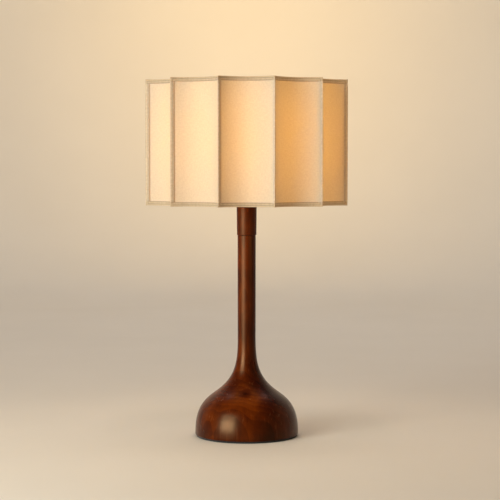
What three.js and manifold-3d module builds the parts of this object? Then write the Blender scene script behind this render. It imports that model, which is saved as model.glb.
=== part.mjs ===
// Table lamp with a twelve-panel scalloped shade. A turned walnut base and stem is clamped
// by a hollow threaded rod, which also carries the harp and the socket. The shade hangs on
// the harp's stud under the finial. Millimetres, +Z up, the front faces -Y, and the origin
// is on the lamp's axis at the surface that it stands on.
import * as THREE from 'three';
import { mergeVertices } from 'three/addons/utils/BufferGeometryUtils.js';
import Module from 'manifold-3d';

const wasm = await Module();
wasm.setup();

// ---- driving dimensions ----------------------------------------------------------------

const LAMP_HEIGHT = 610;
const GAP = 0.3; // clearance between neighbouring pieces

const BASE_RADIUS = 88.7;
const FELT_RADIUS = 86.8;
const FELT_THICKNESS = 3;
const BASE_WALL_TOP = 8.6; // the base's side is upright below this height
const SHOULDER = { radius: 51, height: 78.3, slope: 0.66 }; // where the bell turns to flare
const STEM_FOOT = { radius: 15.4, height: 170 }; // where the flare has become the stem
const STEM_TOP = { radius: 15.6, height: 346 };
// How far the two curves of the bell's side are pulled out at each of their ends.
const BELL_PULL = { wall: 47.8, belowShoulder: 17.2, aboveShoulder: 36.7, foot: 49 };
const CAVITY = { radius: 70, topRadius: 66, top: 38.3, corner: 4 };
const SPIGOT = { radius: 9, height: 10 };

const COLLAR_BOTTOM_RADIUS = 16.7;
const COLLAR_TOP_RADIUS = 17.3;
const COLLAR_TOP = 404;
const COLLAR_EDGE = 0.8;

const ROD_RADIUS = 5;
const ROD_BORE_RADIUS = 3.3;
const ROD_BOTTOM = 16;
const ROD_TOP = 412;
const ROD_HOLE = ROD_RADIUS + GAP;
const ROD_NUT = { acrossFlats: 17, height: 6 };
const WEIGHT = { radius: 64, thickness: 12.4, bevel: 2 };
const WEIGHT_WASHER = { radius: 14, thickness: 1.5 };
const GLAND = { height: 12, bore: 3.3, barrel: 5, flange: 7.5, innerEnd: 66, rim: 1.8 };
const GLAND_NUT = { acrossFlats: 14, height: 3, clearance: 0.5 };
const LEAD_RADIUS = 1.8;

const NECK_WASHER = { radius: 12, thickness: 2 };
const SADDLE = { width: 12, waist: 10, reach: 26, thickness: 1.5, postRadius: 2, postTop: 416 };
const HARP_WIRE = 2;
const HARP_TOP = 584.2; // the wire's middle, under the stud
const SLEEVE = { bore: 2.6, radius: 4.2, length: 16 };
const STUD = { radius: 3.05, top: 599.3, bossRadius: 7, bossTop: 589 };

const FINIAL = { ball: 5.5, footRadius: 8, footHeight: 1.6, waist: 4.6 };

const SOCKET = { capTop: 425, shellTop: 468, radius: 18.3, lampRadius: 19.2, wall: 0.9 };
const SHELL_STEP = { bottom: 445, top: 448 }; // where the shell widens to hold the lamp
const SHELL_LIP = { bottom: 464, height: 1.4, reach: 0.8 };
const LINER = { inner: 16.4, outer: 17.1 };
const CORE = { bottom: 427, top: 443, radius: 15.8 };
const CONTACT = { radius: 3.5, tipRadius: 1.8, top: 446.1 };
const SWITCH_HEIGHT = 436;
const SWITCH_SHAFT = 2;
const BULB = { globeRadius: 30, globeHeight: 526.3, neckRadius: 12.4, neckBottom: 470.3 };
const BULB_TAPER = { angle: -0.55, globePull: 11, neckPull: 18 }; // from the globe to the neck
const BULB_GLASS_WALL = 1.2;

const PANELS = 12;
const PANEL_STEPS = 4; // flats across one curved panel
const RIB_RADIUS = 174.8; // from the axis to a panel's outer corner
const PANEL_DEPTH = 22; // how far a panel curves in between its ribs
const PANEL_THICKNESS = 1;
const PANEL_TRIM = 0.6; // what a panel stops short of its corner
const SHADE_BOTTOM = 398.2;
const SHADE_WIRE = 1.5;
const SHADE_WIRE_INSET = 2.9;
const TAPE_THICKNESS = 0.6;
const TAPE_WIDTH = 7;
const RIB_TAPE = { wide: 5.4, narrow: 2.6 }; // how far its two legs reach from the rib
const TURNED_RIB_TAPES = [11]; // the ribs whose wide leg is clockwise from the rib, seen from above
const SPIDER = { radius: 2, hubRadius: 13, hubThickness: 2.2, armRise: 7.6 };
const SPIDER_RIBS = [0, 4, 8]; // the ribs that its three arms run to

// ---- materials -------------------------------------------------------------------------

function finish(color, roughness, metalness = 0) {
  return () => new THREE.MeshStandardMaterial({ color, roughness, metalness });
}

const walnut = finish(0x57230c, 0.38);
const blackFelt = finish(0x0d0b0a, 0.95);
const castIron = finish(0x2c2b2a, 0.7, 0.8);
const steel = finish(0xa9a9a6, 0.35, 1);
const brass = finish(0xb08a4a, 0.3, 1);
const blackPlastic = finish(0x151414, 0.45);
const whitePlastic = finish(0xe2ded4, 0.5);
const cardboard = finish(0x8d7355, 0.9);
const frostedGlass = finish(0xfff1d8, 0.35);
const aluminium = finish(0xc9c9c6, 0.35, 1);
const linen = finish(0xf0d3a4, 0.85);
const tape = finish(0xcfae82, 0.8);
const whiteWire = finish(0xe9e4da, 0.45);

// ---- geometry helpers ------------------------------------------------------------------

// Merges equal vertices, drops the slivers that collapse at the axis, and turns the faces out.
function clean(geometry) {
  const bare = geometry.clone();
  bare.deleteAttribute('normal');
  bare.deleteAttribute('uv');
  const merged = mergeVertices(bare, 1e-4);
  const point = merged.getAttribute('position');
  const corner = [0, 1, 2].map(() => new THREE.Vector3());
  const triangles = [];
  let volume = 0;
  for (let i = 0; i < merged.index.count; i += 3) {
    const face = [0, 1, 2].map((k) => merged.index.getX(i + k));
    if (new Set(face).size < 3) continue;
    face.forEach((vertex, k) => corner[k].fromBufferAttribute(point, vertex));
    volume += corner[0].dot(corner[1].clone().cross(corner[2]));
    triangles.push(face);
  }
  if (volume < 0) triangles.forEach((face) => face.reverse());
  merged.setIndex(triangles.flat());
  return merged;
}

function toManifold(geometry) {
  const solid = clean(geometry);
  const vertProperties = Float32Array.from(solid.getAttribute('position').array);
  const triVerts = Uint32Array.from(solid.index.array);
  return new wasm.Manifold(new wasm.Mesh({ numProp: 3, vertProperties, triVerts }));
}

function fromManifold(manifold) {
  const mesh = manifold.getMesh();
  const geometry = new THREE.BufferGeometry();
  geometry.setAttribute('position', new THREE.BufferAttribute(mesh.vertProperties, 3));
  geometry.setIndex([...mesh.triVerts]);
  return geometry;
}

function join(...geometries) {
  return fromManifold(geometries.map(toManifold).reduce((all, next) => all.add(next)));
}

function cut(geometry, ...tools) {
  const whole = toManifold(geometry);
  return fromManifold(tools.map(toManifold).reduce((rest, tool) => rest.subtract(tool), whole));
}

// Turns a profile of [radius, height] points about the Z axis.
function turned(profile, segments) {
  const points = profile.map(([radius, height]) => new THREE.Vector2(radius, height));
  return new THREE.LatheGeometry(points, segments).rotateX(Math.PI / 2);
}

// The inner face of a thin sheet whose outside is a profile, drawn back the other way.
function insideOf(outside, sheet) {
  return outside.map(([radius, height]) => [radius - sheet, height]).toReversed();
}

function ring(inner, outer, bottom, top, segments = 32) {
  const profile = [[inner, bottom], [outer, bottom], [outer, top], [inner, top], [inner, bottom]];
  return turned(profile, segments);
}

function post(radius, bottom, top, sides = 12) {
  const shape = new THREE.CylinderGeometry(radius, radius, top - bottom, sides);
  return shape.rotateX(Math.PI / 2).translate(0, 0, (top + bottom) / 2);
}

// A round wire along a curve.
function wire(curve, radius, sides, steps) {
  const section = new THREE.Shape();
  section.absarc(0, 0, radius, 0, 2 * Math.PI);
  const outline = new THREE.Shape(section.getSpacedPoints(sides).slice(0, sides));
  return new THREE.ExtrudeGeometry(outline, { extrudePath: curve, steps, bevelEnabled: false });
}

function plate(shape, bottom, thickness, curveSegments = 12) {
  const settings = { depth: thickness, bevelEnabled: false, curveSegments };
  return new THREE.ExtrudeGeometry(shape, settings).translate(0, 0, bottom);
}

function pathPoints(path, divisions) {
  return path.getPoints(divisions).map((point) => [point.x, point.y]);
}

// ---- the shade's outline ---------------------------------------------------------------

// In plan the shade is twelve arcs that curve inwards between its ribs. An offset is a
// distance inside the outline, and it moves every arc and corner as a parallel line would.
const HALF_STEP = Math.PI / PANELS;
const HALF_CHORD = RIB_RADIUS * Math.sin(HALF_STEP);
const ARC_RADIUS = (HALF_CHORD ** 2 + PANEL_DEPTH ** 2) / (2 * PANEL_DEPTH);
const ARC_CENTRE = RIB_RADIUS * Math.cos(HALF_STEP) - PANEL_DEPTH + ARC_RADIUS;
const FIRST_RIB = HALF_STEP;

function ribAngle(rib) {
  return FIRST_RIB + rib * 2 * HALF_STEP;
}

function cornerRadius(offset) {
  const along = ARC_CENTRE * Math.cos(HALF_STEP);
  const across = ARC_CENTRE * Math.sin(HALF_STEP);
  return along - Math.sqrt((ARC_RADIUS + offset) ** 2 - across ** 2);
}

// The outline's corner number i, counted in flats from rib 0, at an offset.
function outlineCorner(i, offset) {
  const panel = Math.floor(i / PANEL_STEPS);
  const share = i / PANEL_STEPS - panel;
  const middle = ribAngle(panel) + HALF_STEP;
  const radius = ARC_RADIUS + offset;
  const reach = Math.asin((cornerRadius(offset) * Math.sin(HALF_STEP)) / radius);
  const turn = middle + Math.PI + reach * (1 - 2 * share);
  const x = ARC_CENTRE * Math.cos(middle) + radius * Math.cos(turn);
  const y = ARC_CENTRE * Math.sin(middle) + radius * Math.sin(turn);
  return new THREE.Vector2(x, y);
}

// The point a distance along one flat, from its corner "from" towards its corner "to".
function outlineAlong(from, to, distance, offset) {
  const start = outlineCorner(from, offset);
  const way = outlineCorner(to, offset).sub(start).normalize();
  return start.addScaledVector(way, distance);
}

// Sweeps a closed section of [offset, height] points once round the outline.
function sweptRound(section) {
  const corners = PANELS * PANEL_STEPS;
  const positions = [];
  const index = [];
  for (let i = 0; i < corners; i++) {
    for (const [offset, height] of section) {
      const point = outlineCorner(i, offset);
      positions.push(point.x, point.y, height);
    }
    const here = i * section.length;
    const next = ((i + 1) % corners) * section.length;
    for (let k = 0; k < section.length; k++) {
      const after = (k + 1) % section.length;
      index.push(here + k, next + k, next + after, here + k, next + after, here + after);
    }
  }
  const geometry = new THREE.BufferGeometry();
  geometry.setAttribute('position', new THREE.Float32BufferAttribute(positions, 3));
  geometry.setIndex(index);
  return geometry;
}

// ---- assembly --------------------------------------------------------------------------

const group = new THREE.Group();

function add(name, geometry, material) {
  const mesh = new THREE.Mesh(clean(geometry), material());
  mesh.name = name;
  group.add(mesh);
  return mesh;
}

// ---- base and stem ---------------------------------------------------------------------

const BODY_BOTTOM = FELT_THICKNESS + GAP;

// The bell rises upright, rounds over to the shoulder and flares up into the stem.
function bellProfile() {
  const out = new THREE.Vector2(-Math.cos(SHOULDER.slope), Math.sin(SHOULDER.slope));
  const before = out.clone().multiplyScalar(-BELL_PULL.belowShoulder);
  const after = out.clone().multiplyScalar(BELL_PULL.aboveShoulder);
  const bell = new THREE.Path();
  bell.moveTo(BASE_RADIUS, BASE_WALL_TOP);
  bell.bezierCurveTo(
    BASE_RADIUS, BASE_WALL_TOP + BELL_PULL.wall,
    SHOULDER.radius + before.x, SHOULDER.height + before.y,
    SHOULDER.radius, SHOULDER.height,
  );
  bell.bezierCurveTo(
    SHOULDER.radius + after.x, SHOULDER.height + after.y,
    STEM_FOOT.radius, STEM_FOOT.height - BELL_PULL.foot,
    STEM_FOOT.radius, STEM_FOOT.height,
  );
  return pathPoints(bell, 8);
}

const bodyProfile = [
  [BASE_RADIUS - 1, BODY_BOTTOM],
  [BASE_RADIUS, BODY_BOTTOM + 1],
  ...bellProfile(),
  [STEM_TOP.radius, STEM_TOP.height],
  [SPIGOT.radius, STEM_TOP.height],
  [SPIGOT.radius, STEM_TOP.height + SPIGOT.height],
  [ROD_HOLE, STEM_TOP.height + SPIGOT.height],
  [ROD_HOLE, CAVITY.top],
  [CAVITY.topRadius, CAVITY.top],
  [CAVITY.radius, CAVITY.top - CAVITY.corner],
  [CAVITY.radius, BODY_BOTTOM],
  [BASE_RADIUS - 1, BODY_BOTTOM],
];

// Lays a geometry made about the Z axis along the cord inlet's axis, which points to the back.
function alongBack(geometry) {
  return geometry.rotateX(-Math.PI / 2).translate(0, 0, GLAND.height);
}
const glandHole = alongBack(post(GLAND.barrel + GAP, CAVITY.topRadius - 6, BASE_RADIUS + 6, 16));
add('lamp_body', cut(turned(bodyProfile, 40), glandHole), walnut);
add('base_felt', post(FELT_RADIUS, 0, FELT_THICKNESS, 40), blackFelt);

const WEIGHT_TOP = CAVITY.top - GAP;
const WEIGHT_BOTTOM = WEIGHT_TOP - WEIGHT.thickness;
const WEIGHT_HOLE = ROD_RADIUS + 1;
add('base_weight', turned([
  [WEIGHT_HOLE, WEIGHT_BOTTOM],
  [WEIGHT.radius - WEIGHT.bevel, WEIGHT_BOTTOM],
  [WEIGHT.radius, WEIGHT_BOTTOM + WEIGHT.bevel],
  [WEIGHT.radius, WEIGHT_TOP],
  [WEIGHT_HOLE, WEIGHT_TOP],
  [WEIGHT_HOLE, WEIGHT_BOTTOM],
], 36), castIron);

const washerTop = WEIGHT_BOTTOM - GAP;
const washerBottom = washerTop - WEIGHT_WASHER.thickness;
add('weight_washer', ring(ROD_HOLE, WEIGHT_WASHER.radius, washerBottom, washerTop, 24), steel);

function hexNut(acrossFlats, hole, bottom, height) {
  const reach = acrossFlats / Math.sqrt(3);
  const corners = [];
  for (let i = 0; i < 6; i++) {
    const angle = (i * Math.PI) / 3;
    corners.push(new THREE.Vector2(reach * Math.cos(angle), reach * Math.sin(angle)));
  }
  const plan = new THREE.Shape(corners);
  plan.holes.push(new THREE.Path().absarc(0, 0, hole, 0, 2 * Math.PI));
  return plate(plan, bottom, height);
}
const rodNutBottom = washerBottom - GAP - ROD_NUT.height;
add('weight_nut', hexNut(ROD_NUT.acrossFlats, ROD_HOLE, rodNutBottom, ROD_NUT.height), steel);
add('threaded_rod', ring(ROD_BORE_RADIUS, ROD_RADIUS, ROD_BOTTOM, ROD_TOP, 20), steel);

// The cord's inlet: a flanged bush through the back of the base, and the nut inside.
const GLAND_FACE = BASE_RADIUS + GAP;
const GLAND_BEVEL = 0.6;
const glandEnd = GLAND_FACE + GLAND.rim;
const glandProfile = [
  [GLAND.bore, GLAND.innerEnd],
  [GLAND.barrel, GLAND.innerEnd],
  [GLAND.barrel, GLAND_FACE],
  [GLAND.flange, GLAND_FACE],
  [GLAND.flange - GLAND_BEVEL, glandEnd],
  [GLAND.bore + GLAND_BEVEL, glandEnd],
  [GLAND.bore, glandEnd - GLAND_BEVEL],
  [GLAND.bore, GLAND.innerEnd],
];
add('cord_gland', alongBack(turned(glandProfile, 20)), blackPlastic);
const glandNutFront = CAVITY.radius - GAP - GLAND_NUT.clearance - GLAND_NUT.height;
const glandNut = hexNut(GLAND_NUT.acrossFlats, GLAND.barrel + GAP, glandNutFront, GLAND_NUT.height);
add('gland_nut', alongBack(glandNut), blackPlastic);

// The block that the mains lead would end in hangs under the weight, and a thin twin lead
// runs from it up through the rod to the socket.
const BLOCK = { width: 20, front: 30, back: 46, bottom: 11, top: WEIGHT_BOTTOM - GAP };
const BLOCK_BEVEL = { depth: 4, height: 5 };
const BLOCK_SCREW = { radius: 2.2, height: 1.5, reach: 5, slotWidth: 0.8, slotDepth: 0.7 };
const LEAD_HEIGHT = 16;
const blockSide = new THREE.Shape();
blockSide.moveTo(BLOCK.front, BLOCK.bottom);
blockSide.lineTo(BLOCK.back, BLOCK.bottom);
blockSide.lineTo(BLOCK.back, BLOCK.top - BLOCK_BEVEL.height);
blockSide.lineTo(BLOCK.back - BLOCK_BEVEL.depth, BLOCK.top);
blockSide.lineTo(BLOCK.front + BLOCK_BEVEL.depth, BLOCK.top);
blockSide.lineTo(BLOCK.front, BLOCK.top - BLOCK_BEVEL.height);
blockSide.closePath();
const blockSolid = plate(blockSide, -BLOCK.width / 2, BLOCK.width);
// The side view lies in the YZ plane and is as deep as the block is wide.
blockSolid.rotateY(Math.PI / 2).rotateX(Math.PI / 2);
add('terminal_block', blockSolid, whitePlastic);
for (const [name, side] of [['terminal_screw_left', -1], ['terminal_screw_right', 1]]) {
  const headTop = BLOCK.bottom - GAP;
  const headBottom = headTop - BLOCK_SCREW.height;
  const head = post(BLOCK_SCREW.radius, headBottom, headTop, 14);
  const slot = new THREE.BoxGeometry(
    3 * BLOCK_SCREW.radius, BLOCK_SCREW.slotWidth, 2 * BLOCK_SCREW.slotDepth,
  ).translate(0, 0, headBottom);
  const screw = cut(head, slot).translate(side * BLOCK_SCREW.reach, (BLOCK.front + BLOCK.back) / 2, 0);
  add(name, screw, steel);
}
const leadRoute = new THREE.CatmullRomCurve3([
  new THREE.Vector3(0, 0, 426.4),
  new THREE.Vector3(0, 0, 300),
  new THREE.Vector3(0, 0, 160),
  new THREE.Vector3(0, 0, 40),
  new THREE.Vector3(0, 0, 19),
  new THREE.Vector3(0, 2.5, 11),
  new THREE.Vector3(0, 9, 7.6),
  new THREE.Vector3(0, 17, 10.5),
  new THREE.Vector3(0, 23, LEAD_HEIGHT - 1),
  new THREE.Vector3(0, BLOCK.front - 1, LEAD_HEIGHT),
], false, 'centripetal');
add('internal_lead', wire(leadRoute, LEAD_RADIUS, 8, 50), whitePlastic);

// The collar turned as a second piece, fitted over the stem's spigot.
const collarBottom = STEM_TOP.height + GAP;
const spigotTop = STEM_TOP.height + SPIGOT.height + GAP;
add('stem_collar', turned([
  [SPIGOT.radius + GAP, collarBottom],
  [COLLAR_BOTTOM_RADIUS - COLLAR_EDGE, collarBottom],
  [COLLAR_BOTTOM_RADIUS, collarBottom + COLLAR_EDGE],
  [COLLAR_TOP_RADIUS, COLLAR_TOP - COLLAR_EDGE],
  [COLLAR_TOP_RADIUS - COLLAR_EDGE, COLLAR_TOP],
  [ROD_HOLE, COLLAR_TOP],
  [ROD_HOLE, spigotTop],
  [SPIGOT.radius + GAP, spigotTop],
  [SPIGOT.radius + GAP, collarBottom],
], 36), walnut);

// ---- harp ------------------------------------------------------------------------------

const neckTop = COLLAR_TOP + GAP + NECK_WASHER.thickness;
add('neck_washer', ring(ROD_HOLE, NECK_WASHER.radius, COLLAR_TOP + GAP, neckTop, 28), brass);

const saddleBottom = neckTop + GAP;
const saddleTop = saddleBottom + SADDLE.thickness;
function saddlePlan() {
  const half = SADDLE.width / 2;
  const endRadius = half - 2;
  const plan = new THREE.Shape();
  plan.absarc(SADDLE.reach, 0, endRadius, -Math.PI / 2, Math.PI / 2);
  plan.lineTo(SADDLE.waist, half);
  plan.lineTo(-SADDLE.waist, half);
  plan.absarc(-SADDLE.reach, 0, endRadius, Math.PI / 2, 1.5 * Math.PI);
  plan.lineTo(-SADDLE.waist, -half);
  plan.lineTo(SADDLE.waist, -half);
  plan.holes.push(new THREE.Path().absarc(0, 0, ROD_HOLE, 0, 2 * Math.PI));
  return plan;
}
const saddlePosts = [-1, 1].map((side) => {
  const foot = post(SADDLE.postRadius, saddleBottom + 0.5, SADDLE.postTop, 10);
  return foot.translate(side * SADDLE.reach, 0, 0);
});
add('harp_saddle', join(plate(saddlePlan(), saddleBottom, SADDLE.thickness, 8), ...saddlePosts), brass);

// One half of the harp, from its foot to its top, mirrored for the other half.
const harpHalf = [
  [SADDLE.reach, SADDLE.postTop + GAP],
  [SADDLE.reach, 428],
  [SADDLE.reach, 440],
  [31, 456],
  [48, 482],
  [57, 512],
  [54, 542],
  [40, 567],
  [20, 581],
];
const harpPoints = [
  ...harpHalf.map(([x, z]) => new THREE.Vector3(-x, 0, z)),
  new THREE.Vector3(0, 0, HARP_TOP),
  ...harpHalf.toReversed().map(([x, z]) => new THREE.Vector3(x, 0, z)),
];
const harpCurve = new THREE.CatmullRomCurve3(harpPoints, false, 'centripetal');
const stud = turned([
  [0, HARP_TOP],
  [STUD.bossRadius - 1.5, HARP_TOP],
  [STUD.bossRadius, HARP_TOP + 2],
  [STUD.bossRadius, STUD.bossTop],
  [STUD.radius, STUD.bossTop],
  [STUD.radius, STUD.top - 0.7],
  [STUD.radius - 0.7, STUD.top],
  [0, STUD.top],
], 20);
add('harp', join(wire(harpCurve, HARP_WIRE, 8, 32), stud), brass);

const sleeveBottom = saddleTop + GAP;
for (const [name, side] of [['harp_sleeve_left', -1], ['harp_sleeve_right', 1]]) {
  const sleeve = turned([
    [SLEEVE.bore, sleeveBottom],
    [SLEEVE.radius, sleeveBottom],
    [SLEEVE.radius, sleeveBottom + SLEEVE.length - 3],
    [SLEEVE.radius - 0.9, sleeveBottom + SLEEVE.length],
    [SLEEVE.bore, sleeveBottom + SLEEVE.length],
    [SLEEVE.bore, sleeveBottom],
  ], 16);
  add(name, sleeve.translate(side * SADDLE.reach, 0, 0), brass);
}

const finialBottom = STUD.bossTop + GAP + SPIDER.hubThickness + GAP;
const finialBall = LAMP_HEIGHT - 4 - FINIAL.ball;
const finialBore = STUD.radius + 0.35;
const finialOutline = new THREE.Path();
finialOutline.moveTo(finialBore, finialBottom);
finialOutline.lineTo(FINIAL.footRadius, finialBottom);
finialOutline.lineTo(FINIAL.footRadius, finialBottom + FINIAL.footHeight);
finialOutline.lineTo(FINIAL.waist, finialBottom + FINIAL.footHeight + 1.2);
finialOutline.absarc(0, finialBall, FINIAL.ball, -0.6, Math.PI / 2);
add('finial', turned([
  [0, STUD.top + GAP],
  [finialBore, STUD.top + GAP],
  ...pathPoints(finialOutline, 7),
], 18), brass);

// ---- socket ----------------------------------------------------------------------------

const capBottom = saddleTop + GAP;
// The cap is a shallow cup: its outside from the rod to the rim, then its inside back again.
add('socket_cap', turned([
  [ROD_HOLE, capBottom],
  [9, capBottom],
  [14, capBottom + 4.6],
  [SOCKET.radius - 0.4, capBottom + 10.6],
  [SOCKET.radius, SOCKET.capTop],
  [SOCKET.radius - 1, SOCKET.capTop],
  [SOCKET.radius - 1.5, capBottom + 11.2],
  [13.2, capBottom + 5.6],
  [8.5, capBottom + 1.8],
  [ROD_HOLE, capBottom + 1.8],
  [ROD_HOLE, capBottom],
], 24), brass);

// Lays a geometry made about the Z axis along the switch's axis, which points to the front.
function alongSwitch(geometry) {
  return geometry.rotateX(Math.PI / 2).translate(0, 0, SWITCH_HEIGHT);
}
const switchPassage = alongSwitch(post(SWITCH_SHAFT + 0.5, 6, 30, 14));
const shellBottom = SOCKET.capTop + GAP;
const shellLip = SOCKET.lampRadius + SHELL_LIP.reach;
const shellOutside = [
  [SOCKET.radius, shellBottom],
  [SOCKET.radius, SHELL_STEP.bottom],
  [SOCKET.lampRadius, SHELL_STEP.top],
  [SOCKET.lampRadius, SHELL_LIP.bottom],
  [shellLip, SHELL_LIP.bottom + SHELL_LIP.height],
  [shellLip, SOCKET.shellTop - 0.6],
  [SOCKET.lampRadius, SOCKET.shellTop],
];
const shellProfile = [...shellOutside, ...insideOf(shellOutside, SOCKET.wall), shellOutside[0]];
add('socket_shell', cut(turned(shellProfile, 26), switchPassage), brass);

const liner = ring(LINER.inner, LINER.outer, shellBottom + GAP, SHELL_LIP.bottom, 28);
add('socket_liner', cut(liner, switchPassage), cardboard);

const core = turned([
  [0, CORE.bottom],
  [CORE.radius - 1, CORE.bottom],
  [CORE.radius, CORE.bottom + 1],
  [CORE.radius, CORE.top],
  [0, CORE.top],
], 20);
add('socket_core', cut(core, switchPassage), blackPlastic);
const onCore = CORE.top + GAP;
add('center_contact', turned([
  [0, onCore],
  [CONTACT.radius, onCore],
  [CONTACT.radius, onCore + 1.1],
  [CONTACT.tipRadius, CONTACT.top],
  [0, CONTACT.top],
], 16), brass);

// Rolled thread shown as plain rings, so that the bulb can turn inside the shell.
const THREAD = { pitch: 3.6, turns: 4 };
const SCREW_SHELL = { bottom: 448, crest: 14.5, root: 14, hole: 6, sheet: 0.5, floor: 0.6 };
function threadRings(start, crest, root) {
  const points = [];
  for (let i = 0; i < THREAD.turns; i++) {
    points.push([root, start + i * THREAD.pitch]);
    points.push([crest, start + (i + 0.5) * THREAD.pitch]);
  }
  points.push([root, start + THREAD.turns * THREAD.pitch]);
  return points;
}
const screwOutside = threadRings(SCREW_SHELL.bottom, SCREW_SHELL.crest, SCREW_SHELL.root);
add('screw_shell', turned([
  [SCREW_SHELL.hole, onCore],
  [SCREW_SHELL.root, onCore],
  ...screwOutside,
  ...insideOf(screwOutside, SCREW_SHELL.sheet),
  [SCREW_SHELL.root - SCREW_SHELL.sheet, onCore + SCREW_SHELL.floor],
  [SCREW_SHELL.hole, onCore + SCREW_SHELL.floor],
  [SCREW_SHELL.hole, onCore],
], 20), brass);

// The knob turns about its shaft, which points to the front below the bulb.
const KNOB = { radius: 6.5, flutes: 8, fluteDepth: 0.8, front: -36, back: -24 };
function knobSection() {
  const points = [];
  const count = KNOB.flutes * 4;
  for (let i = 0; i < count; i++) {
    const angle = (i * 2 * Math.PI) / count;
    const radius = KNOB.radius + KNOB.fluteDepth * (0.5 * Math.cos(KNOB.flutes * angle) - 0.5);
    points.push(new THREE.Vector2(radius * Math.cos(angle), radius * Math.sin(angle)));
  }
  return new THREE.Shape(points);
}
const knobBody = plate(knobSection(), -KNOB.back, KNOB.back - KNOB.front);
const knobShaft = post(SWITCH_SHAFT, 8, 1 - KNOB.back, 12);
add('switch_knob', alongSwitch(join(knobBody, knobShaft)), blackPlastic);

// ---- bulb ------------------------------------------------------------------------------

// A solid disc about the axis, wider at its top than at its bottom.
function taperedDisc(bottomRadius, topRadius, bottom, top, segments) {
  return turned([[0, bottom], [bottomRadius, bottom], [topRadius, top], [0, top]], segments);
}
const TIP = { bottom: CONTACT.top + GAP, thickness: 1 };
const INSULATOR = { bottom: TIP.bottom + TIP.thickness + GAP, thickness: 3 };
const CAP = { bottom: INSULATOR.bottom + INSULATOR.thickness + GAP, threadBottom: 453.5, crest: 13.1 };
const CAP_SHEET = 0.6;
const CAP_HOLE = 6;
add('bulb_contact', taperedDisc(3.5, 4.5, TIP.bottom, TIP.bottom + TIP.thickness, 16), steel);
const insulatorTop = INSULATOR.bottom + INSULATOR.thickness;
add('bulb_insulator', taperedDisc(5, 9, INSULATOR.bottom, insulatorTop, 20), blackPlastic);
const capOutside = threadRings(CAP.threadBottom, CAP.crest, BULB.neckRadius);
add('bulb_cap', turned([
  [CAP_HOLE, CAP.bottom],
  [9.6, CAP.bottom],
  ...capOutside,
  [BULB.neckRadius, BULB.neckBottom - GAP],
  [BULB.neckRadius - CAP_SHEET, BULB.neckBottom - GAP],
  ...insideOf(capOutside, CAP_SHEET),
  [9.2, CAP.bottom + 0.7],
  [CAP_HOLE, CAP.bottom + 0.7],
  [CAP_HOLE, CAP.bottom],
], 20), aluminium);

// The globe's lower third tapers into the neck, and the glass is open where the cap holds it.
function globeProfile(inset, divisions) {
  const radius = BULB.globeRadius - inset;
  const neck = BULB.neckRadius - inset;
  const outwards = new THREE.Vector2(Math.cos(BULB_TAPER.angle), Math.sin(BULB_TAPER.angle));
  const end = outwards.clone().multiplyScalar(radius).add(new THREE.Vector2(0, BULB.globeHeight));
  const pull = new THREE.Vector2(outwards.y, -outwards.x).multiplyScalar(BULB_TAPER.globePull);
  const outline = new THREE.Path();
  outline.moveTo(neck, BULB.neckBottom);
  outline.bezierCurveTo(
    neck, BULB.neckBottom + BULB_TAPER.neckPull,
    end.x + pull.x, end.y + pull.y,
    end.x, end.y,
  );
  outline.absarc(0, BULB.globeHeight, radius, BULB_TAPER.angle, Math.PI / 2);
  return pathPoints(outline, divisions);
}
const glassOutside = globeProfile(0, 5);
const glassInside = globeProfile(BULB_GLASS_WALL, 5).toReversed();
add('bulb_glass', turned([...glassInside, ...glassOutside], 24), frostedGlass);

// ---- shade -----------------------------------------------------------------------------

const tapeTop = LAMP_HEIGHT;
const tapeBottom = SHADE_BOTTOM;
const panelTop = tapeTop - TAPE_THICKNESS - GAP;
const panelBottom = tapeBottom + TAPE_THICKNESS + GAP;
const tapeInner = SHADE_WIRE_INSET + SHADE_WIRE + 0.6;

// The edge tape folds over the panel's edge and the ring wire behind it.
function edgeTape(edge, inwards) {
  const outside = -GAP - TAPE_THICKNESS;
  const inside = tapeInner + TAPE_THICKNESS;
  const hem = edge + inwards * TAPE_WIDTH;
  const fold = edge + inwards * TAPE_THICKNESS;
  return sweptRound([
    [outside, edge],
    [outside, hem],
    [-GAP, hem],
    [-GAP, fold],
    [tapeInner, fold],
    [tapeInner, hem],
    [inside, hem],
    [inside, edge],
  ]);
}

// A ring of wire behind the panels, its middle at a height.
function edgeWire(height) {
  const sides = 6;
  const section = [];
  for (let i = 0; i < sides; i++) {
    const angle = (i * 2 * Math.PI) / sides;
    const offset = SHADE_WIRE_INSET + SHADE_WIRE * Math.cos(angle);
    section.push([offset, height + SHADE_WIRE * Math.sin(angle)]);
  }
  return sweptRound(section);
}

const wireTop = panelTop - SHADE_WIRE;
const wireBottom = panelBottom + SHADE_WIRE;
const strutRadius = cornerRadius(SHADE_WIRE_INSET);
const struts = [];
for (let rib = 0; rib < PANELS; rib++) {
  const strut = post(SHADE_WIRE, wireBottom, wireTop, 6);
  struts.push(strut.translate(strutRadius, 0, 0).rotateZ(ribAngle(rib)));
}
add('shade_cage', join(edgeWire(wireTop), edgeWire(wireBottom), ...struts), whiteWire);

const hubBottom = STUD.bossTop + GAP;
const hubMiddle = hubBottom + SPIDER.hubThickness / 2;
const armEnd = strutRadius - SHADE_WIRE - GAP;
const arms = SPIDER_RIBS.map((rib) => {
  const route = new THREE.CatmullRomCurve3([
    new THREE.Vector3(10, 0, hubMiddle),
    new THREE.Vector3(40, 0, hubMiddle),
    new THREE.Vector3(80, 0, hubMiddle + SPIDER.armRise * 0.2),
    new THREE.Vector3(125, 0, hubMiddle + SPIDER.armRise * 0.65),
    new THREE.Vector3(armEnd, 0, hubMiddle + SPIDER.armRise),
  ], false, 'centripetal');
  return wire(route, SPIDER.radius, 8, 8).rotateZ(ribAngle(rib));
});
const hub = ring(finialBore, SPIDER.hubRadius, hubBottom, hubBottom + SPIDER.hubThickness, 24);
add('shade_spider', join(hub, ...arms), whiteWire);

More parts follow.
